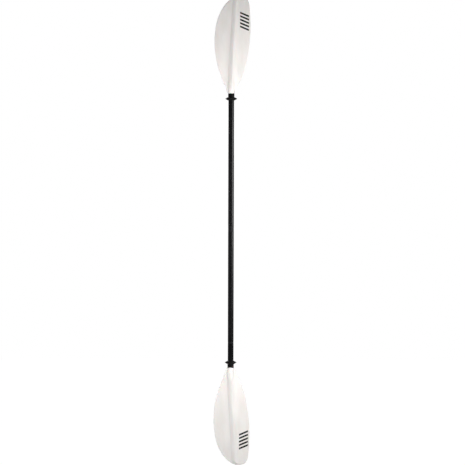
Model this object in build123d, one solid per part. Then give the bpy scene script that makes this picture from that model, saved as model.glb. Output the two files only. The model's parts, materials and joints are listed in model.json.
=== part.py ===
from build123d import *
import math
import os

# Take-apart kayak paddle. Millimetres, Z along the shaft, origin on the shaft axis at mid-length.
# The right blade is at +Z and the left blade at -Z. The ribbed backs of the blades face -Y,
# and both power faces and all snap buttons face +Y.
# Each middle tube carries the ferrule of its blade joint. The left one also carries the centre ferrule.

# Overall sizes
paddle_length = 2300.0
blade_length = 479.0
blade_width = 175.0

# Shaft tubes
tube_diameter = 28.0
tube_wall = 1.2
bare_blade_tube = 118.0  # from a joint collar to the blade's neck
socket_depth = 45.0  # tube glued inside the blade

# Take-apart joints
ferrule_wall = 1.4
glued_length = 60.0  # ferrule held in its own tube
joint_ferrule_reach = 90.0  # ferrule past its collar, inside the blade's tube
centre_ferrule_reach = 100.0
joint_collar_length = 10.0
centre_collar_length = 25.0
collar_step = 0.25  # a collar is this much inside the tube's surface
centre_collar_foot = -4.0  # height of the centre collar's lower face
collar_bevel = 0.6
running_gap = 0.05  # radial clearance of every round fit
parting_gap = 0.1  # between a tube's open end and the collar that it meets
overcut = 1.0  # how far a cutting solid runs past the face that it cuts
drill_depth = 4.0  # how far a button-hole drill starts from the shaft axis

# Snap buttons and their leaf springs
button_diameter = 6.3
button_height = 2.4  # how far a button stands out of the tube
button_dome = 1.7  # height of its rounded end
button_from_end = 32.0  # from a tube's open end to its button
button_foot_margin = 1.15  # how far a button's foot reaches past its stem
button_foot_thickness = 0.8
feather_angle = 60.0  # between neighbouring button holes at the centre joint
leaf_width = 7.0
leaf_thickness = 0.5
leaf_length = 42.0
leaf_tail = 6.0  # upper leaf past the button's centre
fold_radius = 3.0
leaf_clearance = 0.3

# Watertight plugs, cups of soft plastic
plug_length = 18.0
plug_wall = 1.6
blade_plug_inset = 6.0  # from the blade tube's inner end to its plug
shaft_plug_inset = 20.0  # from the ferrule's buried end to the plug in a middle tube

# Drip rings
ring_diameter = 57.0
ring_rim_thickness = 3.4
ring_root_thickness = 16.0
ring_root_wall = 1.45  # rubber between the tube and the brim's lower edge
ring_sleeve_wall = 1.15
ring_sleeve_length = 17.4
ring_sleeve_step = 1.0  # slanted step between the brim and the sleeve
ring_rim_round = 1.4
ring_neck_gap = 0.4

# Blades
socket_wall = 2.6
socket_taper = 46.0  # closed nose past the end of the socket
socket_nose_radius = 6.0
blade_mid_thickness = 4.2
blade_edge_thickness = 3.0
blade_spoon = 30.0  # how far the tip leans to the power face
blade_camber = 5.0  # how far the long edges lean to the power face
blade_root_offset = -2.0  # ribbed face beside the neck, from the shaft axis
rib_root_height = 17.4
rib_tip_height = 2.2
rib_drift = 23.0  # sideways, from the neck to the tip
rib_root_widths = (22.0, 26.0)  # short-edge side, full-edge side
rib_tip_widths = (17.0, 8.0)
rib_shoulder = 0.25  # share of its height that the rib still lacks at the neck
rib_shoulder_length = 0.06  # share of the blade over which it rises to full height
rib_share_of_side = 0.8  # widest a flank may be, as a share of the blade on its side
rib_inset_share = 0.35  # nearest the crest may come to the short edge, as a share of the section's width
rim_bulge = 1.4
spoon_power = 1.8  # how late the lean sets in
fade_powers = (1.3, 1.6)  # how the rib keeps its height at first, and how gently it runs out
flank_power = 1.5  # roundness of the rib's flanks

# Blade outline, from the neck to the tip: how far the short edge and the full edge lie from the shaft
# axis, as shares of the blade's width. Sections stand closer together towards the neck and the tip.
# The short edge sweeps back and crosses the axis before the tip.
outline_widths = (
    (0.078, 0.078),
    (0.119, 0.119),
    (0.168, 0.175),
    (0.259, 0.274),
    (0.357, 0.376),
    (0.434, 0.447),
    (0.469, 0.502),
    (0.459, 0.530),
    (0.401, 0.529),
    (0.286, 0.513),
    (0.134, 0.485),
    (-0.045, 0.405),
    (-0.200, 0.250),
)
blade_section_count = 25

# Radii and heights that follow from the sizes above
tube_radius = tube_diameter / 2
tube_bore = tube_radius - tube_wall
ferrule_radius = tube_bore - running_gap
ferrule_bore = ferrule_radius - ferrule_wall
collar_radius = tube_radius - collar_step
neck_z = paddle_length / 2 - blade_length
collar_top = neck_z - bare_blade_tube
collar_foot = collar_top - joint_collar_length
blade_tube_end = collar_top + parting_gap  # open end of a blade's tube
centre_collar_top = centre_collar_foot + centre_collar_length
centre_end = centre_collar_top + parting_gap  # open end of the right middle tube
button_radius = button_diameter / 2
button_foot_radius = button_radius + button_foot_margin
button_hole = button_radius + running_gap
joint_button_z = blade_tube_end + button_from_end
centre_button_z = centre_end + button_from_end


def rod(radius, low, high):
    """A round bar along the shaft axis, from one height to another."""
    return Pos(0, 0, (low + high) / 2) * Cylinder(radius, high - low)


def pipe(outer, bore, low, high):
    """A round tube along the shaft axis, from one height to another."""
    return rod(outer, low, high) - rod(bore, low - overcut, high + overcut)


def cross_hole(height, angle=0.0):
    """The drill for a button hole, through one wall on the +Y side, turned about the shaft."""
    drill = rod(button_hole, drill_depth, tube_radius + overcut)
    return Rot(0, 0, angle) * Pos(0, 0, height) * Rot(-90, 0, 0) * drill


def shaft_tube_right():
    """Right middle tube, with three feather holes at its open end, the centre joint."""
    tube = pipe(tube_radius, tube_bore, centre_end, collar_foot)
    for angle in (-feather_angle, 0.0, feather_angle):
        tube -= cross_hole(centre_button_z, angle)
    return tube


def shaft_tube_left():
    """Left middle tube, with a ferrule glued into each end."""
    return pipe(tube_radius, tube_bore, -collar_foot, centre_collar_foot)


def centre_ferrule():
    """Inner tube of the centre joint, from inside the left tube up into the right one."""
    low = centre_collar_foot - glued_length
    tube = pipe(ferrule_radius, ferrule_bore, low, centre_collar_top + centre_ferrule_reach)
    return tube - cross_hole(centre_button_z)


def joint_ferrule():
    """Inner tube of a blade joint, from inside the middle tube out into the blade's tube."""
    low = collar_foot - glued_length
    tube = pipe(ferrule_radius, ferrule_bore, low, collar_top + joint_ferrule_reach)
    return tube - cross_hole(joint_button_z)


def outer_rims(piece, radius):
    """The round edges of a piece that lie at its outer radius."""
    return [e for e in piece.edges().filter_by(GeomType.CIRCLE) if math.isclose(e.radius, radius)]


def collar(low, high):
    """Shoulder ring on a ferrule, with a small bevel on both outer edges."""
    ring = pipe(collar_radius, ferrule_radius + running_gap, low, high)
    return chamfer(outer_rims(ring, collar_radius), collar_bevel)


def blade_tube():
    """Outer tube of a blade section, from its open end to the bottom of the blade's socket."""
    return pipe(tube_radius, tube_bore, blade_tube_end, neck_z + socket_depth) - cross_hole(joint_button_z)


def spring_side():
    """Y of a button's foot on its inner side, where the leaf spring pushes."""
    ferrule_wall_y = math.sqrt(ferrule_bore**2 - button_foot_radius**2)
    return ferrule_wall_y - leaf_clearance - button_foot_thickness


def snap_button(height):
    """Domed push button with a foot that the ferrule holds back, at rest in its hole."""
    foot_low = spring_side()
    crown = tube_radius + button_height
    dome_radius = (button_radius**2 + button_dome**2) / (2 * button_dome)
    stem = rod(button_radius, foot_low, crown) & Pos(0, 0, crown - dome_radius) * Sphere(dome_radius)
    foot = rod(button_foot_radius, foot_low, foot_low + button_foot_thickness)
    return Pos(0, 0, height) * Rot(-90, 0, 0) * (stem + foot)


def button_spring(height, away):
    """Folded leaf under a button. The fold lies along the shaft in the direction away (+1 or -1)."""
    upper = spring_side() - leaf_thickness / 2 - running_gap
    lower = -math.sqrt(ferrule_bore**2 - (leaf_width / 2) ** 2) + leaf_clearance + leaf_thickness / 2
    line = FilletPolyline(
        (upper, height - away * leaf_tail),
        (upper, height + away * leaf_tail),
        (upper - 2 * fold_radius, height + away * leaf_length),
        (lower, height + away * leaf_length),
        (lower, height - away * leaf_tail),
        radius=fold_radius,
    )
    return extrude(Plane.YZ * trace(line, leaf_thickness), amount=leaf_width / 2, both=True)


def plug(low, radius):
    """Watertight cup with its closed face at the lower end."""
    top = low + plug_length
    return rod(radius, low, top) - rod(radius - plug_wall, low + plug_wall, top + overcut)


def drip_ring():
    """Rubber ring with a bevelled brim, and a thin sleeve that reaches to the blade's neck."""
    bore = tube_radius + running_gap
    top = neck_z - ring_neck_gap
    middle = top - ring_sleeve_length - ring_root_thickness / 2
    root = bore + ring_root_wall
    sleeve = bore + ring_sleeve_wall
    rim = ring_diameter / 2
    profile = Polyline(
        (bore, middle - ring_root_thickness / 2),
        (root, middle - ring_root_thickness / 2),
        (rim, middle - ring_rim_thickness / 2),
        (rim, middle + ring_rim_thickness / 2),
        (root, middle + ring_root_thickness / 2),
        (sleeve, top - ring_sleeve_length + ring_sleeve_step),
        (sleeve, top),
        (bore, top),
        close=True,
    )
    ring = revolve(Plane.XZ * make_face(profile), Axis.Z)
    return fillet(outer_rims(ring, rim), ring_rim_round)


def spoon(share):
    """How far the blade leans to the power face at a share of its length from the neck."""
    return blade_root_offset + blade_spoon * share**spoon_power


def rib_height(share):
    """Height of the rib's crest over the face: it rises out of the neck and fades to the tip."""
    fade = (1 - share ** fade_powers[0]) ** fade_powers[1]
    rise = 1 - rib_shoulder * max(0.0, 1 - share / rib_shoulder_length) ** 2
    return rise * (rib_tip_height + (rib_root_height - rib_tip_height) * fade)


def outline_at(way):
    """Both edges' widths at a way from 0, the neck, to 1, the tip: a smooth cubic between the rows."""
    place = way * (len(outline_widths) - 1)
    row = min(int(place), len(outline_widths) - 2)
    t = place - row
    widths = []
    for edge in (0, 1):
        near = [outline_widths[min(max(row + n, 0), len(outline_widths) - 1)][edge] for n in (-1, 0, 1, 2)]
        slope_in = (near[2] - near[0]) / 2
        slope_out = (near[3] - near[1]) / 2
        rise = near[2] - near[1]
        bend = (3 * rise - 2 * slope_in - slope_out) * t**2 + (slope_in + slope_out - 2 * rise) * t**3
        widths.append(near[1] + slope_in * t + bend)
    return widths


def even_spline(*points):
    """A spline whose points are evenly spaced in its parameter, so that sections loft smoothly."""
    return Edge.make_spline(points, parameters=[n / (len(points) - 1) for n in range(len(points))])


def blade_section(share, short, full):
    """Cross-section of the blade at a share of its length: ribbed face, power face and two round rims."""
    low_x = rim_bulge - short * blade_width
    high_x = full * blade_width - rim_bulge
    crest = max(rib_drift * share, low_x + rib_inset_share * (high_x - low_x))
    flanks = [root + (tip - root) * share for root, tip in zip(rib_root_widths, rib_tip_widths)]
    left = min(flanks[0], rib_share_of_side * (crest - low_x))
    right = min(flanks[1], rib_share_of_side * (high_x - crest))

    def face_y(x):
        return spoon(share) + blade_camber * (2 * x / blade_width) ** 2

    def ribbed(x, reach):
        return (x, face_y(x) - rib_height(share) * (1 - reach**2) ** flank_power)

    def power(x):
        thin = (blade_mid_thickness - blade_edge_thickness) * (2 * x / blade_width) ** 2
        return (x, face_y(x) + blade_mid_thickness - thin)

    def rim(x, side):
        return (x + side * rim_bulge, (ribbed(x, 1)[1] + power(x)[1]) / 2)

    front = even_spline(
        ribbed(low_x, 1),
        ribbed((low_x + crest - left) / 2, 1),
        ribbed(crest - left, 1),
        ribbed(crest - left / 2, 0.5),
        ribbed(crest, 0),
        ribbed(crest + right / 2, 0.5),
        ribbed(crest + right, 1),
        ribbed((high_x + crest + right) / 2, 1),
        ribbed(high_x, 1),
    )
    back_x = (high_x, (high_x + crest) / 2, crest, (low_x + crest) / 2, low_x)
    back = even_spline(*[power(x) for x in back_x])
    full_rim = ThreePointArc(ribbed(high_x, 1), rim(high_x, 1), power(high_x))
    short_rim = ThreePointArc(power(low_x), rim(low_x, -1), ribbed(low_x, 1))
    return Pos(0, 0, neck_z + share * blade_length) * make_face([front, full_rim, back, short_rim])


def blade():
    """Moulded blade: a loft through its sections, with a hollow socket for the tube."""
    sections = []
    for step in range(blade_section_count):
        way = step / (blade_section_count - 1)
        share = (1 - math.cos(math.pi * way)) / 2
        sections.append(blade_section(share, *outline_at(way)))
    body = loft(sections)
    socket_radius = tube_radius + running_gap + socket_wall
    socket_end = neck_z + socket_depth
    nose = Pos(0, 0, socket_end + socket_taper / 2) * Cone(socket_radius, socket_nose_radius, socket_taper)
    body += rod(socket_radius, neck_z, socket_end) + nose
    return body - rod(tube_radius + running_gap, neck_z - overcut, socket_end + parting_gap)


def mirrored(piece):
    """The same piece for the left end of the paddle."""
    return mirror(piece, about=Plane.XY)


def write(name, piece):
    """Writes one piece to its own STEP file."""
    export_step(piece, f"parts/{name}.step")


def main():
    """Builds every piece and writes it."""
    os.makedirs("parts", exist_ok=True)
    plug_radius = tube_bore - running_gap
    both_ends = {
        "blade": blade(),
        "drip_ring": drip_ring(),
        "blade_tube": blade_tube(),
        "joint_ferrule": joint_ferrule(),
        "joint_collar": collar(collar_foot, collar_top),
        "snap_button": snap_button(joint_button_z),
        "button_spring": button_spring(joint_button_z, -1),
        "blade_plug": plug(neck_z + socket_depth - blade_plug_inset - plug_length, plug_radius),
    }
    for name, piece in both_ends.items():
        write(f"{name}_right", piece)
        write(f"{name}_left", mirrored(piece))
    write("shaft_tube_right", shaft_tube_right())
    write("shaft_tube_left", shaft_tube_left())
    write("centre_ferrule", centre_ferrule())
    write("centre_collar", collar(centre_collar_foot, centre_collar_top))
    write("centre_snap_button", snap_button(centre_button_z))
    write("centre_button_spring", button_spring(centre_button_z, -1))
    write("shaft_plug_right", plug(centre_collar_top + centre_ferrule_reach + shaft_plug_inset, plug_radius))
    left_plug_top = centre_collar_foot - glued_length - shaft_plug_inset
    write("shaft_plug_left", plug(left_plug_top - plug_length, plug_radius))


main()
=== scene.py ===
# %% [markdown]
# # A take-apart kayak paddle
# This lesson dresses a finished CAD model of a kayak paddle: two white moulded blades on a black tube
# shaft, with a rubber drip ring beside each blade. The CAD model fixes every size and every joint.
# Here its two blades, two drip rings and three leaf springs get finer surfaces, and every piece gets
# its material.
# All lengths are in metres. Z runs along the shaft, and the ribbed backs of the blades face -Y.

# %% Load the frame
import json
import math

import bmesh
import bpy
import numpy as np
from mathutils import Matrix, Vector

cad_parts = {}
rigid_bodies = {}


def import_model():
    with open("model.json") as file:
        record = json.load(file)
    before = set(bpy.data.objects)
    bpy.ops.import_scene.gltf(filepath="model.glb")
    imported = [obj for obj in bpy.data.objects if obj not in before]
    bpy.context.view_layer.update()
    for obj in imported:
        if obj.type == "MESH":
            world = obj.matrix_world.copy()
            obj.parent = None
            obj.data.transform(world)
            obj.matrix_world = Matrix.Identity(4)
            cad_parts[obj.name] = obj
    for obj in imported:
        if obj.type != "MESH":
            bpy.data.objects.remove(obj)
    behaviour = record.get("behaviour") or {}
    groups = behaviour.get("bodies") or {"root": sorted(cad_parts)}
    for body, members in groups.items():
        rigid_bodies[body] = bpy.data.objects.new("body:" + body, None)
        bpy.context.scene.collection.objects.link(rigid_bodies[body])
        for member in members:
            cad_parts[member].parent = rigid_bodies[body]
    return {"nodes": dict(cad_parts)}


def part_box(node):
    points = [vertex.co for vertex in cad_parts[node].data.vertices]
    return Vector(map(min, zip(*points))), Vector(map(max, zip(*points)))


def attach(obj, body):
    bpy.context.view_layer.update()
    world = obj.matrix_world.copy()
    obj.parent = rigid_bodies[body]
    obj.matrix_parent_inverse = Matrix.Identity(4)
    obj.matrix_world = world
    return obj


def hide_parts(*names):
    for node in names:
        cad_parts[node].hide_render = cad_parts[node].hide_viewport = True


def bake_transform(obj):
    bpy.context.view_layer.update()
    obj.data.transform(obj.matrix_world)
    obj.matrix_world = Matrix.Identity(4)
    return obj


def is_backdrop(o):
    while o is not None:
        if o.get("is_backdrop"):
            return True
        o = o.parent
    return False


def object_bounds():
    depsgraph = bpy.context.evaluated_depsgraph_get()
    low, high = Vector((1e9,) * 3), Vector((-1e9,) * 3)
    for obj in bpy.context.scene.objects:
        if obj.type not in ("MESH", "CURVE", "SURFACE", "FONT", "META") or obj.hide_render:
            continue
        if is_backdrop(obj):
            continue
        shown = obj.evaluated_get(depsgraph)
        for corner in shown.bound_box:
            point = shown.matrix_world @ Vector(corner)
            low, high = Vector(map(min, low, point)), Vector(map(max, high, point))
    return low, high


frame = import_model()
cad_low, cad_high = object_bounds()
mm = 0.001
print("CAD box from", [round(v, 4) for v in cad_low], "to", [round(v, 4) for v in cad_high])

# %% [markdown]
# ## Sizes that come from the CAD model
# A new surface has to fit the pieces that stay. So its main sizes are read from the boxes of the CAD
# nodes, and only what a box can't tell, such as a wall's thickness, is written as a number.

# %% Read the sizes
blade_low, blade_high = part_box("blade_right")
_, tube_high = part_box("blade_tube_right")
ring_low, ring_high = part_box("drip_ring_right")
neck_z = blade_low.z
blade_length = blade_high.z - blade_low.z
box_over_outline = 1.0033  # the two edges bulge a little between the outline's rows
blade_width = (blade_high.x - blade_low.x) / box_over_outline
tube_radius = tube_high.x
socket_end = tube_high.z
fit_gap = 0.05 * mm
print("blade", round(blade_length, 4), "long and", round(blade_width, 4), "wide")
print("neck at", round(neck_z, 4))

# %% [markdown]
# ## Four small tools
# A colour picked on a screen is sRGB, and Blender computes with linear light, so one function turns
# a hex value to linear. One function adds a shader node with its settings and links. One function
# makes a mesh out of a grid of points whose rows are closed rings, which is the natural form for
# everything moulded, turned or folded on this paddle. The last one cleans such a mesh, and puts it in
# the place of its CAD node.


# %% Colour
def linear(hex_colour):
    """sRGB hex to linear RGBA. A channel c becomes (c + 0.055) / 1.055 to the power 2.4, or c / 12.92 if
    it is small."""
    channels = [int(hex_colour[n : n + 2], 16) / 255 for n in (1, 3, 5)]
    return [c / 12.92 if c <= 0.04045 else ((c + 0.055) / 1.055) ** 2.4 for c in channels] + [1.0]


# %% Node
def add(tree, kind, inputs=None, **settings):
    """Adds one shader node. An input's value is a constant, or a socket of another node to link from."""
    node = tree.nodes.new(kind)
    for name, value in settings.items():
        setattr(node, name, value)
    for name, value in (inputs or {}).items():
        if isinstance(value, bpy.types.NodeSocket):
            tree.links.new(value, node.inputs[name])
        else:
            node.inputs[name].default_value = value
    return node


# %% Ring grid
def ring_mesh(name, rings, closed_rows=False):
    """A mesh from an array of rings, shaped rings x points x 3. Each ring joins its last point to its
    first. With closed_rows the last ring joins the first one too, as in a lathe-turned ring with a
    bore."""
    count, points, _ = rings.shape
    bands = count if closed_rows else count - 1
    row, column = np.meshgrid(np.arange(bands), np.arange(points), indexing="ij")
    next_row, next_column = (row + 1) % count, (column + 1) % points
    corners = (row, column), (row, next_column), (next_row, next_column), (next_row, column)
    faces = np.stack([r * points + c for r, c in corners], axis=-1).reshape(-1, 4)
    mesh = bpy.data.meshes.new(name)
    mesh.vertices.add(count * points)
    mesh.vertices.foreach_set("co", rings.astype(np.float32).ravel())
    mesh.loops.add(faces.size)
    mesh.loops.foreach_set("vertex_index", faces.astype(np.int32).ravel())
    mesh.polygons.add(len(faces))
    mesh.polygons.foreach_set("loop_start", np.arange(0, faces.size, 4, dtype=np.int32))
    mesh.update(calc_edges=True)
    return mesh


# %% Clean up and place
same_point = 0.002 * mm  # points closer than this are one point


def finish_mesh(name, mesh, replaced):
    """Merges the points that a pole or a sharp edge holds twice, turns all faces outwards, and shows the
    piece in place of a CAD node."""
    work = bmesh.new()
    work.from_mesh(mesh)
    bmesh.ops.remove_doubles(work, verts=work.verts, dist=same_point)
    bmesh.ops.dissolve_degenerate(work, edges=work.edges, dist=same_point)
    bmesh.ops.recalc_face_normals(work, faces=work.faces)
    open_edges = sum(1 for edge in work.edges if len(edge.link_faces) != 2)
    work.to_mesh(mesh)
    volume = work.calc_volume(signed=True) / (10 * mm) ** 3
    work.free()
    mesh.shade_smooth()
    piece = bpy.data.objects.new(name, mesh)
    bpy.context.scene.collection.objects.link(piece)
    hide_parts(replaced)
    print(name, len(mesh.vertices), "points,", round(volume, 1), "cm3,", open_edges, "open edges")
    return piece


# %% [markdown]
# ## The blade, part one: its outline
# A blade like this is one piece of injection-moulded polypropylene. Its outline is asymmetric: a long
# full edge, and a short edge that sweeps over to it at the tip, so that both sides push as much water
# when the paddle enters at a slant. It could be drawn as a curve and filled, but a fill makes faces
# that ignore the shape. Here the outline is two widths at thirteen places from neck to tip, with a
# smooth cubic between them, and the surface follows in rows from one edge to the other.

# %% Outline
outline_widths = np.array(
    [
        (0.078, 0.078),
        (0.119, 0.119),
        (0.168, 0.175),
        (0.259, 0.274),
        (0.357, 0.376),
        (0.434, 0.447),
        (0.469, 0.502),
        (0.459, 0.530),
        (0.401, 0.529),
        (0.286, 0.513),
        (0.134, 0.485),
        (-0.045, 0.405),
        (-0.200, 0.250),
    ]
)


def outline_at(way):
    """Widths of the short and the full edge at ways from 0, the neck, to 1, the tip. Between two rows it
    is the cubic that has the rows' values, and whose slope at a row is half the rise from the row before
    to the row after."""
    last = len(outline_widths) - 1
    place = np.clip(way, 0, 1) * last
    row = np.minimum(place.astype(int), last - 1)
    t = (place - row)[:, None]
    before, here, there, after = [outline_widths[np.clip(row + n, 0, last)] for n in (-1, 0, 1, 2)]
    slope_in, slope_out, rise = (there - before) / 2, (after - here) / 2, there - here
    squared = 3 * rise - 2 * slope_in - slope_out
    cubed = slope_in + slope_out - 2 * rise
    return here + slope_in * t + squared * t**2 + cubed * t**3


def share_at(way):
    """Share of the blade's length at a way. It is half a cosine wave, so rows are closer together towards
    the neck and the tip."""
    return (1 - np.cos(np.pi * way)) / 2


widths = outline_at(np.linspace(0, 1, 201)) * blade_width
print("widest", round(float(widths.sum(axis=1).max()) * 1000, 1), "mm across")

# %% [markdown]
# ## The blade, part two: its surface
# The sheet is about 4 mm thick, thinner at its edges, and leans to the power face towards the tip like
# a spoon. A rib runs down the back. Its short-edge flank steepens to a sharp foot, and its full-edge
# flank falls quickly beside the crest and then runs out softly. At the neck the rib grows into a round
# socket, glued over the tube. The sheet and the socket are two height formulas over the same grid, and a
# smooth maximum joins them with a fillet, which is how the mould's radius looks.

# %% Blade sizes
sheet_mid, sheet_edge = 4.2 * mm, 3.0 * mm
spoon, spoon_power, camber, root_offset = 30 * mm, 1.8, 5 * mm, -2 * mm
rib_root, rib_tip, rib_drift = 17.4 * mm, 3.6 * mm, 24 * mm
# Each flank's width at the neck and at the tip, and the power of its curve from foot to crest.
short_flank, short_power = (22 * mm, 17 * mm), 1.7
full_flank, full_power = (28 * mm, 18 * mm), 1.8
flank_share = 0.8  # a flank covers at most this share of its side of the sheet
crest_share = 0.35  # the crest keeps this share of the width between itself and the short edge
crest_round = 2.5 * mm
rib_run_out = 13 * mm  # the rib fades over this distance from the rim
socket_wall = 2.6 * mm
socket_radius = tube_radius + fit_gap + socket_wall
nose_length = 62 * mm
# The socket sinks below the sheet by these drops: along its nose, and over a length past the nose.
nose_drop, tail_drop, tail_length = 20 * mm, 80 * mm, 150 * mm
sharpest_fillet, fillet, fillet_grows = 0.2 * mm, 5 * mm, 30 * mm


# %% Small curve formulas
def smooth_max(a, b, reach):
    """The larger of two heights, with a fillet where they are within a reach of each other."""
    blend = np.clip(0.5 + 0.5 * (a - b) / reach, 0, 1)
    return b + (a - b) * blend + reach * blend * (1 - blend)


def ease(t):
    """Rises from 0 to 1 with level ends: 3 t squared minus 2 t cubed."""
    t = np.clip(t, 0, 1)
    return t * t * (3 - 2 * t)


def rib_height(share):
    """Height of the crest over the sheet. It rises by a third over the first 6 percent of the length, and
    fades to the tip as 1 minus the share to the power 1.3, all to the power 1.6."""
    fade = (1 - share**1.3) ** 1.6
    rise = 1 - 0.25 * np.clip(1 - share / 0.06, 0, 1) ** 2
    return rise * (rib_tip + (rib_root - rib_tip) * fade)


def socket_size(z):
    """Radius of the socket: constant over the glued tube, then half a cosine wave down to nothing."""
    taper = np.clip((z - socket_end) / nose_length, 0, 1)
    return socket_radius * (1 + np.cos(np.pi * taper)) / 2


# %% Columns of the grid
def columns_between(edges, counts):
    """Columns from edge to edge of each row. Every stretch between two lines has its own count, and the
    columns are closer at the lines, so that a crease or a round rim has enough of them."""
    parts = []
    for low, high, count in zip(edges[:-1], edges[1:], counts):
        t = share_at(np.linspace(0, 1, count + 1)[:-1])
        parts.append(low[:, None] + (high - low)[:, None] * t)
    return np.hstack([*parts, edges[-1][:, None]])


# %% Distance from the rim
def rim_distance(x, z, lines=378):
    """Distance of every grid point from the outline, in the blade's plane: the nearest of the many short
    straight lines that the outline is cut into. It is negative outside the outline."""
    way = np.linspace(0, 1, lines + 1)
    edge_x = outline_at(way) * blade_width * (-1, 1)
    edge_z = neck_z + share_at(way) * blade_length
    corner_x = np.concatenate([edge_x[:, 0], edge_x[::-1, 1]])
    corner_z = np.concatenate([edge_z, edge_z[::-1]])
    nearest = np.full(x.shape, np.inf)
    for start_x, start_z, run_x, run_z in zip(corner_x, corner_z, np.diff(corner_x), np.diff(corner_z)):
        share = ((x - start_x) * run_x + (z - start_z) * run_z) / (run_x**2 + run_z**2)
        share = np.clip(share, 0, 1)
        square = (x - start_x - share * run_x) ** 2 + (z - start_z - share * run_z) ** 2
        nearest = np.minimum(nearest, square)
    inside = (x >= np.interp(z, edge_z, edge_x[:, 0])) & (x <= np.interp(z, edge_z, edge_x[:, 1]))
    return np.where(inside, np.sqrt(nearest), -np.sqrt(nearest))


# %% Blade grid
def blade_grid(stations=190, counts=(26, 20, 26, 26)):
    """Both faces of the blade over one grid of rows and columns, and each point's distance from the rim."""
    way = np.linspace(0, 1, stations)
    share = share_at(way)
    z = neck_z + share * blade_length
    short, full = (outline_at(way) * blade_width).T
    radius = socket_size(z)
    covered = z < socket_end + nose_length / 2
    low = -np.where(covered, np.maximum(short, radius), short)
    high = np.where(covered, np.maximum(full, radius), full)
    crest = np.maximum(rib_drift * share, low + crest_share * (high - low))
    left = np.minimum(np.interp(share, (0, 1), short_flank), flank_share * (crest - low))
    right = np.minimum(np.interp(share, (0, 1), full_flank), flank_share * (high - crest))
    x = columns_between((low, crest - left, crest, crest + right, high), counts)
    share, z, radius = [np.repeat(v[:, None], x.shape[1], axis=1) for v in (share, z, radius)]

    distance = rim_distance(x, z)
    across = (2 * x / blade_width) ** 2
    thickness = sheet_mid - (sheet_mid - sheet_edge) * across
    middle = root_offset + spoon * share**spoon_power + camber * across + thickness / 2
    round_off = np.clip(1 - distance / (thickness / 2), 0, 1)
    half = thickness / 2 * np.sqrt(1 - round_off**2)

    offset = x - crest[:, None]
    steep = 1 - np.clip(-offset / left[:, None], 0, 1) ** short_power
    soft_offset = np.sqrt(np.maximum(offset, 0) ** 2 + crest_round**2) - crest_round
    soft = (1 - np.clip(soft_offset / right[:, None], 0, 1)) ** full_power
    rib = rib_height(share) * np.where(offset < 0, steep, soft) * ease(distance / rib_run_out)

    # Outside the outline the sheet falls away steeply, so that only the socket is left there.
    outside = 4 * np.maximum(-distance, 0)
    square = radius**2 - x**2
    barrel = np.sign(square) * np.sqrt(np.abs(square))
    barrel -= nose_drop * ease((z - socket_end) / nose_length) ** 4
    barrel -= tail_drop * ease((z - socket_end - nose_length) / tail_length)
    reach = sharpest_fillet + fillet * ease((z - neck_z) / fillet_grows)
    ribbed = -smooth_max(half - middle + rib - outside, barrel, reach)
    power = smooth_max(middle + half - outside, barrel, reach)
    ends = (ribbed[:, [0, -1]] + power[:, [0, -1]]) / 2
    ribbed[:, [0, -1]] = ends
    return x, ribbed, power, z, np.maximum(distance, 0)


x_grid, ribbed_grid, power_grid, z_grid, distance_grid = blade_grid()
print("grid", x_grid.shape, "ribbed face reaches", round(float(ribbed_grid.min()) * 1000, 1), "mm")


# %% [markdown]
# ## The blade, part three: one closed skin
# The ribbed face and the power face share their edge columns, so a row of the ribbed face followed by
# the same row of the power face backwards is one ring round the blade. At the neck more rings turn in:
# a small lip, the mouth, and the bore that the tube is glued into, down to a closed bottom. The left
# blade is the same skin mirrored, with its normals worked out again, because a mirror turns them inwards.


# %% Rings of the blade
lip = 0.8 * mm
bore, bore_bottom = tube_radius + fit_gap, socket_end + 0.1 * mm
mouth_bevel = 0.4 * mm


def blade_rings():
    """Every ring of the blade's skin, from the bottom of its bore, over the lip, to the tip."""
    x = np.hstack([x_grid, x_grid[:, -2:0:-1]])
    y = np.hstack([ribbed_grid, power_grid[:, -2:0:-1]])
    z = np.hstack([z_grid, z_grid[:, -2:0:-1]])
    near = np.clip(1 - (z - neck_z) / lip, 0, 1)
    shrink = 1 - lip / socket_radius * (1 - np.sqrt(1 - near**2))
    skin = np.stack([x * shrink, y * shrink, z], axis=-1)
    angle = np.arctan2(y[0], x[0])
    inner = [
        (0.0, bore_bottom),
        (bore * 0.5, bore_bottom),
        (bore, bore_bottom),
        (bore, neck_z + 20 * mm),
        (bore, neck_z + mouth_bevel),
        (bore + mouth_bevel, neck_z),
    ]
    circle = np.stack([np.cos(angle), np.sin(angle)], axis=-1)
    rings = [np.hstack([r * circle, np.full((len(angle), 1), z_at)]) for r, z_at in inner]
    return np.concatenate([np.stack(rings), skin])


# %% Marks on the blade
def mark_blade(mesh, rings_before):
    """Two numbers per point for the material: the distance from the rim in mm, and whether the point lies
    on the ribbed face. The bore counts as 50 mm from the rim, and off the ribbed face."""
    columns = x_grid.shape[1]
    both = np.hstack([distance_grid, distance_grid[:, -2:0:-1]]) / mm
    ribbed_side = np.zeros_like(both)
    ribbed_side[:, 1 : columns - 1] = 1
    for name, values, in_bore in (("rim_distance", both, 50.0), ("ribbed_side", ribbed_side, 0.0)):
        values = np.concatenate([np.full((rings_before, both.shape[1]), in_bore), values])
        attribute = mesh.attributes.new(name, "FLOAT", "POINT")
        attribute.data.foreach_set("value", values.astype(np.float32).ravel())


rings = blade_rings()
blades = []
for side, sign in (("right", 1), ("left", -1)):
    blade_mesh = ring_mesh(f"blade_shell_{side}", rings * (1, 1, sign))
    mark_blade(blade_mesh, len(rings) - len(x_grid))
    blade = finish_mesh(f"blade_shell_{side}", blade_mesh, f"blade_{side}")
    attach(blade, f"blade_section_{side}")
    blades.append(blade)

# %% [markdown]
# ## The drip rings
# A drip ring is a rubber collar that throws off the water running down from the blade. It is turned
# from a profile: two cone faces that bulge slightly meet in a round lip, and a thin sleeve with three
# grip beads reaches to the blade. A lathe modifier could turn the profile, but an array of angles does
# the same in one line and keeps control of the spacing.

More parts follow.
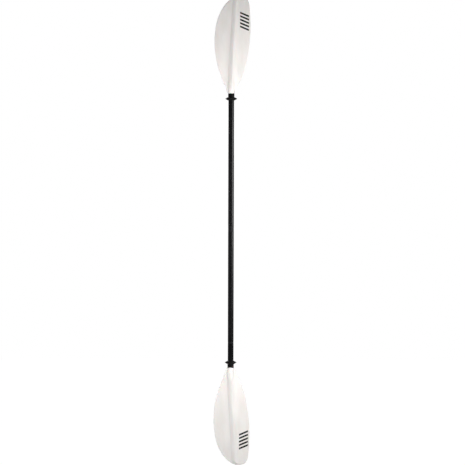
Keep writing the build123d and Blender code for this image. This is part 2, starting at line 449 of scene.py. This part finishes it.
# %% Profile of a drip ring
ring_bore, ring_lip = tube_radius + fit_gap, 1.7 * mm
sleeve_wall, sleeve_length, root_wall = 1.15 * mm, 17.4 * mm, 1.45 * mm
cone_bulge, bead_height, bead_count = 0.4 * mm, 0.35 * mm, 3
end_bevel, bore_bevel = 0.3 * mm, 0.2 * mm


def ring_profile(steps=14):
    """Radius and height round the ring's section. A cone face bulges outwards by a sine arch, the lip is
    half a circle, and a bead is half a sine wave."""
    top, bottom, rim = ring_high.z, ring_low.z, ring_high.x
    sleeve, sleeve_foot = ring_bore + sleeve_wall, top - sleeve_length
    middle, root = (bottom + sleeve_foot) / 2, ring_bore + root_wall
    t = np.linspace(0, 1, steps)
    cone_radius = root + (rim - ring_lip - root) * t
    cone_height = bottom + (middle - ring_lip - bottom) * t - cone_bulge * np.sin(np.pi * t)
    low_cone = np.stack([cone_radius, cone_height], axis=-1)
    turn = np.linspace(-np.pi / 2, np.pi / 2, steps)[1:-1]
    edge = (rim - ring_lip, middle) + ring_lip * np.stack([np.cos(turn), np.sin(turn)], axis=-1)
    high_cone = low_cone[::-1] * (1, -1) + (0, 2 * middle)
    climb = np.linspace(0, 1, 6 * steps)
    beads = bead_height * np.maximum(np.sin(climb * 2 * bead_count * np.pi), 0)
    wall = np.stack([sleeve + beads, sleeve_foot + (top - end_bevel - sleeve_foot) * climb], axis=-1)
    mouth = [(sleeve - end_bevel, top), (ring_bore + bore_bevel, top), (ring_bore, top - bore_bevel)]
    half_way = (ring_bore, (top + bottom) / 2)
    foot = [half_way, (ring_bore, bottom + bore_bevel), (ring_bore + bore_bevel, bottom)]
    return np.concatenate([low_cone, edge, high_cone, wall, mouth, foot])


def turned(profile, points=128):
    """The rings of a turned piece: each profile point carried round Z in even steps."""
    angle = np.linspace(0, 2 * np.pi, points, endpoint=False)
    radius, height = profile[:, :1], profile[:, 1:]
    return np.stack([radius * np.cos(angle), radius * np.sin(angle), height + 0 * angle], axis=-1)


ring_skin = turned(ring_profile())
for side, sign in (("right", 1), ("left", -1)):
    rubber_mesh = ring_mesh(f"drip_ring_rubber_{side}", ring_skin * (1, 1, sign), closed_rows=True)
    rubber = finish_mesh(f"drip_ring_rubber_{side}", rubber_mesh, f"drip_ring_{side}")
    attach(rubber, f"ring_{side}")

# %% [markdown]
# ## The springs under the buttons
# Under each button a strip of spring steel is folded like a hairpin. Its lower leaf rests on the far
# wall of the ferrule, and its upper leaf pushes the button out. When the button goes in, the hairpin
# closes. Here the strip is swept along its folded line and keeps its rest shape.

# %% Path of a folded strip
leaf_thickness, leaf_width, leaf_bevel = 0.5 * mm, 7 * mm, 0.1 * mm
leaf_tail, leaf_length, fold_radius = 6 * mm, 42 * mm, 3 * mm


def rounded_path(corners, radius, steps=12):
    """Points along straight runs joined by arcs. An arc starts before its corner by the radius times the
    tangent of half the turn, so that it is tangent to both runs."""
    points = [corners[0]]
    for before, corner, after in zip(corners[:-2], corners[1:-1], corners[2:]):
        into = (corner - before) / np.linalg.norm(corner - before)
        out = (after - corner) / np.linalg.norm(after - corner)
        turn = np.arccos(into @ out)
        side = out - into * (into @ out)
        side /= np.linalg.norm(side)
        centre = corner - into * radius * np.tan(turn / 2) + side * radius
        angle = np.linspace(0, turn, steps + 1)[:, None]
        points.extend(centre + radius * (into * np.sin(angle) - side * np.cos(angle)))
    return np.array([*points, corners[-1]])


# %% Folded strip
def folded_strip(path):
    """Rings round a strip whose middle line is a path of (y, z) points. The section is a rectangle with
    small bevels, and both ends close on the middle line."""
    run = np.gradient(path, axis=0)
    run /= np.linalg.norm(run, axis=1)[:, None]
    normal = np.stack([-run[:, 1], run[:, 0]], axis=1)
    half_x, half_n = leaf_width / 2, leaf_thickness / 2
    corner = [(half_x, half_n - leaf_bevel), (half_x - leaf_bevel, half_n)]
    section = np.array([*corner, *[(-x, n) for x, n in corner[::-1]]])
    section = np.concatenate([section, -section])
    across = np.repeat(section[None, :, 0], len(path), axis=0)
    skin = path[:, None, :] + normal[:, None, :] * section[None, :, 1, None]
    skin = np.concatenate([across[..., None], skin], axis=-1)
    ends = [np.repeat(skin[n].mean(axis=0)[None], len(section), axis=0)[None] for n in (0, -1)]
    return np.concatenate([ends[0], skin, ends[1]])


# %% Springs in place
for spring_node, button_node, body, button_body in (
    ("button_spring_right", "snap_button_right", "shaft_right", "button_right"),
    ("button_spring_left", "snap_button_left", "shaft_left", "button_left"),
    ("centre_button_spring", "centre_snap_button", "shaft_left", "button_centre"),
):
    spring_low, spring_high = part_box(spring_node)
    button_low, button_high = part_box(button_node)
    height = (button_low.z + button_high.z) / 2
    away = 1 if spring_high.z - height > height - spring_low.z else -1
    upper, lower = spring_high.y - leaf_thickness / 2, spring_low.y + leaf_thickness / 2
    turns = [
        (upper, height - away * leaf_tail),
        (upper, height + away * leaf_tail),
        (upper - 2 * fold_radius, height + away * leaf_length),
        (lower, height + away * leaf_length),
        (lower, height - away * leaf_tail),
    ]
    path = rounded_path(np.array(turns), fold_radius)
    strip_mesh = ring_mesh(f"folded_{spring_node}", folded_strip(path))
    strip = finish_mesh(f"folded_{spring_node}", strip_mesh, spring_node)
    strip_mesh.set_sharp_from_angle(angle=math.radians(40))
    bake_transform(strip)

# %% [markdown]
# ## How a material starts
# Every material below is the same shader with other numbers, and what makes it look real is what
# varies over it. So one function makes the material with its constant values set on the shader, and
# gives back its node tree. Patterns use Object coordinates: pieces lie unturned at the origin, so those
# are metres in the paddle's own frame, and a scale is one over a real size.


# %% New material
def new_material(name, colour, roughness, metallic=0.0, ior=1.5, **inputs):
    """A material with constants on its shader's sockets. Gives the material, its tree, its shader and the
    Object coordinate socket."""
    material = bpy.data.materials.new(name)
    material.use_nodes = True
    tree = material.node_tree
    shader = tree.nodes["Principled BSDF"]
    values = {"Base Color": linear(colour), "Roughness": roughness, "Metallic": metallic, "IOR": ior}
    values.update(inputs)
    for socket, value in values.items():
        shader.inputs[socket].default_value = value
    material.diffuse_color = linear(colour)
    place = add(tree, "ShaderNodeTexCoord").outputs["Object"]
    return material, tree, shader, place


def stretched(tree, place, size_x, size_y, size_z, detail=3.0):
    """Noise whose blobs have a real size in metres along X, Y and Z."""
    scale = (1 / size_x, 1 / size_y, 1 / size_z)
    scaled = add(tree, "ShaderNodeMapping", {"Vector": place, "Scale": scale}).outputs[0]
    inputs = {"Vector": scaled, "Scale": 1.0, "Detail": detail}
    return add(tree, "ShaderNodeTexNoise", inputs).outputs["Fac"]


def span(tree, value, low, high, to_low, to_high):
    """Maps a value from one span to another and holds it at the ends."""
    inputs = {"Value": value, "From Min": low, "From Max": high, "To Min": to_low, "To Max": to_high}
    return add(tree, "ShaderNodeMapRange", inputs).outputs["Result"]


def bump(tree, shader, height, depth):
    """Lifts the surface by a height from 0 to 1 times a real depth in metres."""
    inputs = {"Height": height, "Distance": depth, "Strength": 1.0}
    tree.links.new(add(tree, "ShaderNodeBump", inputs).outputs["Normal"], shader.inputs["Normal"])


def calculate(tree, operation, a, b=0.0):
    """One step of arithmetic on sockets or numbers."""
    return add(tree, "ShaderNodeMath", {0: a, 1: b}, operation=operation).outputs[0]


def mixed(tree, share, low, high):
    """A colour between two others, by a share."""
    return add(tree, "ShaderNodeMix", {"Factor": share, 6: low, 7: high}, data_type="RGBA").outputs[2]


# %% [markdown]
# ## White moulded polypropylene
# Polypropylene straight from a polished mould is a soft, slightly waxy white: broad highlights, light
# that goes a little way in, and faint long clouds where the plastic flowed from the neck to the tip.
# Use leaves fine dull scratches, most of them along the rim and the tip, which push against rocks and
# the beach. The print near the tip is a plain stack of slanted bars, on the ribbed face only.

# %% Blade material
print_centre_x, print_centre_z = 64 * mm, 1026 * mm
print_width, bar_pitch, bar_count = 44 * mm, 17 * mm, 5
bar_slant = 0.42  # a bar climbs this much for each unit across
bare_share = 0.24  # of each pitch, on both sides of a bar, stays unprinted
ink_edge = 0.2 * mm  # half the width of the soft border of the ink


def white_polypropylene(name, sign):
    """Moulded white PP with flow clouds, rim scratches and the printed bars of one blade."""
    material, tree, shader, place = new_material(
        name, "#EFECE9", 0.34, ior=1.49, **{"Subsurface Weight": 0.08, "Subsurface Scale": 0.003}
    )
    rim = add(tree, "ShaderNodeAttribute", attribute_name="rim_distance").outputs["Fac"]
    ribbed_side = add(tree, "ShaderNodeAttribute", attribute_name="ribbed_side").outputs["Fac"]
    clouds = stretched(tree, place, 35 * mm, 35 * mm, 140 * mm)
    # Scratches are 0.6 mm wide here. Real ones are a tenth of that, and would not show at this distance.
    scratches = stretched(tree, place, 0.6 * mm, 6 * mm, 14 * mm, detail=1.0)
    line = span(tree, scratches, 0.66, 0.72, 0.0, 1.0)
    patches = span(tree, stretched(tree, place, 22 * mm, 22 * mm, 22 * mm), 0.42, 0.62, 0.0, 1.0)
    near_rim = calculate(tree, "MULTIPLY", span(tree, rim, 1.0, 16.0, 1.0, 0.0), patches)
    wear = calculate(tree, "MULTIPLY", near_rim, line)
    plastic = mixed(tree, span(tree, clouds, 0.35, 0.65, 0.0, 1.0), linear("#F1EEEB"), linear("#EAE6E2"))
    scuffed = mixed(tree, calculate(tree, "MULTIPLY", wear, 0.55), plastic, linear("#BDB8B0"))

    axes = add(tree, "ShaderNodeSeparateXYZ", {"Vector": place})
    x = calculate(tree, "SUBTRACT", axes.outputs["X"], print_centre_x)
    slant = calculate(tree, "MULTIPLY", x, bar_slant * sign)
    z = calculate(tree, "ADD", calculate(tree, "SUBTRACT", axes.outputs["Z"], sign * print_centre_z), slant)
    bar = calculate(tree, "PINGPONG", calculate(tree, "ADD", z, bar_pitch * bar_count / 2), bar_pitch / 2)
    bare = bare_share * bar_pitch
    in_bar = span(tree, bar, bare - ink_edge, bare + ink_edge, 0.0, 1.0)
    half_width, half_height = print_width / 2, bar_pitch * bar_count / 2
    across = calculate(tree, "ABSOLUTE", x)
    along = calculate(tree, "ABSOLUTE", z)
    in_width = span(tree, across, half_width - ink_edge, half_width + ink_edge, 1.0, 0.0)
    in_height = span(tree, along, half_height - ink_edge, half_height + ink_edge, 1.0, 0.0)
    in_print = calculate(tree, "MULTIPLY", calculate(tree, "MULTIPLY", in_width, in_height), ribbed_side)
    in_print = calculate(tree, "MULTIPLY", in_print, in_bar)
    colour = mixed(tree, in_print, scuffed, linear("#121413"))
    tree.links.new(colour, shader.inputs["Base Color"])

    gloss = span(tree, clouds, 0.3, 0.7, 0.30, 0.38)
    gloss = calculate(tree, "ADD", gloss, calculate(tree, "MULTIPLY", wear, 0.25))
    tree.links.new(gloss, shader.inputs["Roughness"])
    grain = stretched(tree, place, 1.6 * mm, 1.6 * mm, 1.6 * mm)
    relief = calculate(tree, "SUBTRACT", grain, calculate(tree, "MULTIPLY", wear, 1.5))
    bump(tree, shader, relief, 0.03 * mm)
    return material


# %% [markdown]
# ## Black anodised aluminium
# The shaft is drawn tube, dyed black in its oxide layer. The oxide is clear like glass, so the tube
# shines like dark satin glass and not like bare metal. Drawing leaves fine straight lines along the
# tube, and hands leave faint smoother and duller patches. The tubes come from different batches, so
# their gloss differs slightly.


# %% Tube material
def black_anodised(name, roughness):
    """Black dyed oxide on drawn tube, with draw lines along Z and handling marks."""
    material, tree, shader, place = new_material(name, "#0B0B0C", roughness, ior=1.45)
    # Draw lines are 0.5 mm apart here. Real ones are about 0.05 mm, too fine to show.
    lines = stretched(tree, place, 0.5 * mm, 0.5 * mm, 90 * mm, detail=2.0)
    handling = stretched(tree, place, 18 * mm, 18 * mm, 60 * mm)
    dye = mixed(tree, span(tree, handling, 0.35, 0.65, 0.0, 1.0), linear("#09090A"), linear("#0F0F10"))
    tree.links.new(dye, shader.inputs["Base Color"])
    gloss = span(tree, handling, 0.3, 0.7, roughness - 0.04, roughness + 0.05)
    gloss = calculate(tree, "ADD", gloss, span(tree, lines, 0.3, 0.7, -0.03, 0.03))
    tree.links.new(gloss, shader.inputs["Roughness"])
    bump(tree, shader, lines, 0.012 * mm)
    return material


# %% [markdown]
# ## Bare drawn aluminium
# The ferrules slide in and out of the outer tubes, so they have no black layer, only a thin clear one.
# They look like brushed metal, with lines along the way they slide and a few deeper scores.


# %% Ferrule material
def bare_aluminium(name):
    """Clear anodised aluminium with slide marks along Z. The clear layer scatters part of the light, so the
    surface isn't wholly a mirror."""
    material, tree, shader, place = new_material(name, "#C9CACB", 0.38, metallic=0.7)
    lines = stretched(tree, place, 0.4 * mm, 0.4 * mm, 60 * mm, detail=2.0)
    streaks = stretched(tree, place, 0.9 * mm, 0.9 * mm, 45 * mm, detail=1.0)
    scores = span(tree, streaks, 0.66, 0.7, 0.0, 1.0)
    metal = mixed(tree, calculate(tree, "MULTIPLY", scores, 0.6), linear("#C9CACB"), linear("#8E8F91"))
    tree.links.new(metal, shader.inputs["Base Color"])
    tree.links.new(span(tree, lines, 0.3, 0.7, 0.30, 0.46), shader.inputs["Roughness"])
    bump(tree, shader, calculate(tree, "SUBTRACT", lines, scores), 0.015 * mm)
    return material


# %% [markdown]
# ## Plastic, rubber and steel
# The collars and the plugs are moulded plastic with a fine spark-eroded grain. The drip rings are
# black rubber, dull, with a bloom of dust. The buttons are turned from stainless steel, so their fine
# rings lie round their own axis, and the springs are cut from rolled strip.


# %% Moulded plastic
def moulded(name, colour, lighter, roughness, grain_size, depth):
    """Plastic or rubber from a grained mould, with a soft variation in colour and gloss."""
    material, tree, shader, place = new_material(name, colour, roughness)
    bloom = stretched(tree, place, 9 * mm, 9 * mm, 9 * mm)
    body = mixed(tree, span(tree, bloom, 0.4, 0.7, 0.0, 1.0), linear(colour), linear(lighter))
    tree.links.new(body, shader.inputs["Base Color"])
    gloss = span(tree, bloom, 0.3, 0.7, roughness - 0.05, roughness + 0.08)
    tree.links.new(gloss, shader.inputs["Roughness"])
    grain = stretched(tree, place, grain_size, grain_size, grain_size, detail=2.0)
    bump(tree, shader, grain, depth)
    return material


# %% Turned and rolled steel
def turned_steel(name, height):
    """Stainless steel with turning rings round a button's own axis, which runs along Y at one height."""
    material, tree, shader, place = new_material(name, "#B9B9B8", 0.24, metallic=1.0)
    centred = add(tree, "ShaderNodeMapping", {"Vector": place, "Location": (0, 0, -height)}).outputs[0]
    axes = add(tree, "ShaderNodeSeparateXYZ", {"Vector": centred})
    flat = add(tree, "ShaderNodeCombineXYZ", {"X": axes.outputs["X"], "Z": axes.outputs["Z"]}).outputs[0]
    radius = add(tree, "ShaderNodeVectorMath", {0: flat}, operation="LENGTH").outputs["Value"]
    # Turning rings are 0.3 mm apart, about twice a fine feed.
    rings_wave = calculate(tree, "SINE", calculate(tree, "MULTIPLY", radius, 2 * math.pi / (0.3 * mm)))
    tree.links.new(span(tree, rings_wave, -1, 1, 0.2, 0.3), shader.inputs["Roughness"])
    bump(tree, shader, rings_wave, 0.004 * mm)
    return material


def rolled_steel(name):
    """Stainless strip with rolling lines along Z."""
    material, tree, shader, place = new_material(name, "#A9A9A8", 0.3, metallic=1.0)
    lines = stretched(tree, place, 0.3 * mm, 0.3 * mm, 20 * mm, detail=2.0)
    tree.links.new(span(tree, lines, 0.3, 0.7, 0.24, 0.4), shader.inputs["Roughness"])
    bump(tree, shader, lines, 0.01 * mm)
    return material


# %% [markdown]
# ## Give every piece its material
# The CAD nodes that stay keep their shape, and only their material slots change. Pieces of one
# material share it, except where its pattern is tied to a place, such as a button's turning rings.


# %% Assign
def dress(pieces, material):
    """Puts one material on every piece."""
    for piece in pieces:
        piece.data.materials.clear()
        piece.data.materials.append(material)
    print(material.name, "on", ", ".join(piece.name for piece in pieces))


def nodes_named(*stems):
    """The CAD nodes whose names start with one of the stems."""
    return [node for name, node in frame["nodes"].items() if name.startswith(stems)]


for piece, side, sign in zip(blades, ("right", "left"), (1, -1)):
    dress([piece], white_polypropylene(f"white_polypropylene_{side}", sign))
dress(nodes_named("blade_tube"), black_anodised("black_anodised_outer", 0.30))
dress(nodes_named("shaft_tube_right"), black_anodised("black_anodised_right", 0.26))
dress(nodes_named("shaft_tube_left"), black_anodised("black_anodised_left", 0.31))
dress(nodes_named("joint_ferrule", "centre_ferrule"), bare_aluminium("clear_anodised_ferrule"))
collar_nylon = moulded("grained_nylon_collar", "#101012", "#171719", 0.45, 0.7 * mm, 0.02 * mm)
dress(nodes_named("joint_collar", "centre_collar"), collar_nylon)
ring_rubber = moulded("black_rubber_ring", "#070707", "#0E0E0E", 0.65, 0.9 * mm, 0.03 * mm)
rubber_rings = [bpy.data.objects[f"drip_ring_rubber_{side}"] for side in ("right", "left")]
dress(rubber_rings + nodes_named("drip_ring"), ring_rubber)
plug_polyethylene = moulded("soft_polyethylene_plug", "#161616", "#1E1E1E", 0.6, 1.2 * mm, 0.05 * mm)
dress(nodes_named("blade_plug", "shaft_plug"), plug_polyethylene)
for node in nodes_named("snap_button", "centre_snap_button"):
    low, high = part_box(node.name)
    dress([node], turned_steel(f"turned_steel_{node.name}", (low.z + high.z) / 2))
strips = [piece for piece in bpy.data.objects if piece.name.startswith("folded_")]
dress(strips + nodes_named("button_spring", "centre_button_spring"), rolled_steel("rolled_steel_strip"))
dress(nodes_named("blade_right", "blade_left"), bpy.data.materials["white_polypropylene_right"])

# %% [markdown]
# ## Floor, light and camera
# The paddle stands upright over a plain pale floor in a white studio. A soft box on the right gives the
# long highlight on the shaft and lights the rib from one side, and a second one beside it adds light
# without showing in the shaft. A weak one on the left fills in, one close in front lights the blades, and
# two behind light the power faces. Most of them are level with the middle and close to it, so the light
# falls off towards the tips. Rays from the camera see the floor and the surroundings white, and all other
# rays see them dim, so that the black shaft doesn't mirror a white room.

# %% Stage
floor_z = cad_low.z - 200 * mm
studio_white, studio_dim = 1.0, 0.07
paper_glow, glow_share = 1.25, 0.8  # the strength and the share of the glow that the camera sees


def floor_disc(radius=14.0, points=96):
    """A flat disc under the paddle, one face."""
    angle = np.linspace(0, 2 * np.pi, points, endpoint=False)
    corners = np.stack([radius * np.cos(angle), radius * np.sin(angle), np.full(points, floor_z)], axis=-1)
    mesh = bpy.data.meshes.new("floor")
    mesh.from_pydata(corners.tolist(), [], [list(range(points))])
    disc = bpy.data.objects.new("floor", mesh)
    bpy.context.scene.collection.objects.link(disc)
    return disc


def paper_floor():
    """Matt paper that looks near white from the camera and reflects as a mid grey."""
    material = bpy.data.materials.new("floor_paper")
    material.use_nodes = True
    tree = material.node_tree
    tree.nodes.clear()
    paper = add(tree, "ShaderNodeBsdfDiffuse", {"Color": linear("#A8A8A8")})
    glow = add(tree, "ShaderNodeEmission", {"Color": (1, 1, 1, 1), "Strength": paper_glow})
    seen = add(tree, "ShaderNodeLightPath").outputs["Is Camera Ray"]
    share = calculate(tree, "MULTIPLY", seen, glow_share)
    blend = add(tree, "ShaderNodeMixShader", {0: share, 1: paper.outputs[0], 2: glow.outputs[0]})
    add(tree, "ShaderNodeOutputMaterial", {"Surface": blend.outputs[0]})
    return material


floor = floor_disc()
floor.data.materials.append(paper_floor())
floor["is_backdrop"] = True

world = bpy.data.worlds.new("white_studio")
bpy.context.scene.world = world
world.use_nodes = True
sky = world.node_tree
sky.nodes.clear()
camera_ray = add(sky, "ShaderNodeLightPath").outputs["Is Camera Ray"]
brightness = span(sky, camera_ray, 0.0, 1.0, studio_dim, studio_white)
background = add(sky, "ShaderNodeBackground", {"Color": (1, 1, 1, 1), "Strength": brightness})
add(sky, "ShaderNodeOutputWorld", {"Surface": background.outputs[0]})


# %% Lights
def soft_box(name, place, width, height, radiance, mirrored=True):
    """A rectangular light that faces the middle of the paddle. Its power is radiance times pi times its
    area. A light that isn't mirrored lights the paddle, but its panel doesn't show in the shaft's
    gloss."""
    data = bpy.data.lights.new(name, "AREA")
    data.shape = "RECTANGLE"
    data.size, data.size_y = width, height
    data.energy = radiance * math.pi * width * height
    light = bpy.data.objects.new(name, data)
    light.location = place
    light.rotation_mode = "QUATERNION"
    light.rotation_quaternion = (-light.location).to_track_quat("-Z", "Y")
    light.visible_camera = False
    light.visible_glossy = mirrored
    bpy.context.scene.collection.objects.link(light)


soft_box("key_right", (1.58, -0.84, 0.24), 1.1, 0.9, 4.8)
soft_box("fill_left", (-1.8, -1.1, 0.1), 1.8, 1.0, 0.3)
soft_box("fill_front", (-0.3, -1.4, 0.0), 1.0, 0.8, 12.0, mirrored=False)
soft_box("side_right", (1.7, -0.5, -0.1), 0.8, 1.2, 3.8, mirrored=False)
soft_box("back_left", (-0.7, 2.1, 0.0), 2.2, 1.8, 3.7, mirrored=False)
soft_box("back_high", (0.2, 2.2, 1.0), 2.0, 1.2, 2.4)
print("lights", len(bpy.data.lights))

# %% [markdown]
# The camera stands square to the ribbed backs, 12 m away with a long lens, so that the upright shaft
# stays straight and parallel. It aims a little right of and below the middle of the paddle.

# %% Camera
camera_distance, view_height = 12.0, 2.276
aim_right, aim_up = 7.6 * mm, -9.3 * mm
camera_roll = -0.15  # degrees; the paddle leans this little to the right
camera_data = bpy.data.cameras.new("camera")
camera_data.sensor_width = 36.0
camera_data.lens = camera_data.sensor_width * camera_distance / view_height
camera_data.clip_end = 200.0
camera = bpy.data.objects.new("camera", camera_data)
camera.location = (aim_right, -camera_distance, aim_up)
camera.rotation_euler = (math.pi / 2, math.radians(camera_roll), 0)
bpy.context.scene.collection.objects.link(camera)
bpy.context.scene.camera = camera
bpy.context.scene.view_settings.view_transform = "Standard"
print("lens", round(camera_data.lens, 1), "mm")

# %% [markdown]
# ## Print the sizes and finish
# The dressed paddle has to stay inside the CAD model's box, apart from a small margin for soft pieces,
# so both boxes are written down.

# %% Sizes and finish
low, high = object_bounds()
print("visual box from", [round(v, 4) for v in low], "to", [round(v, 4) for v in high])
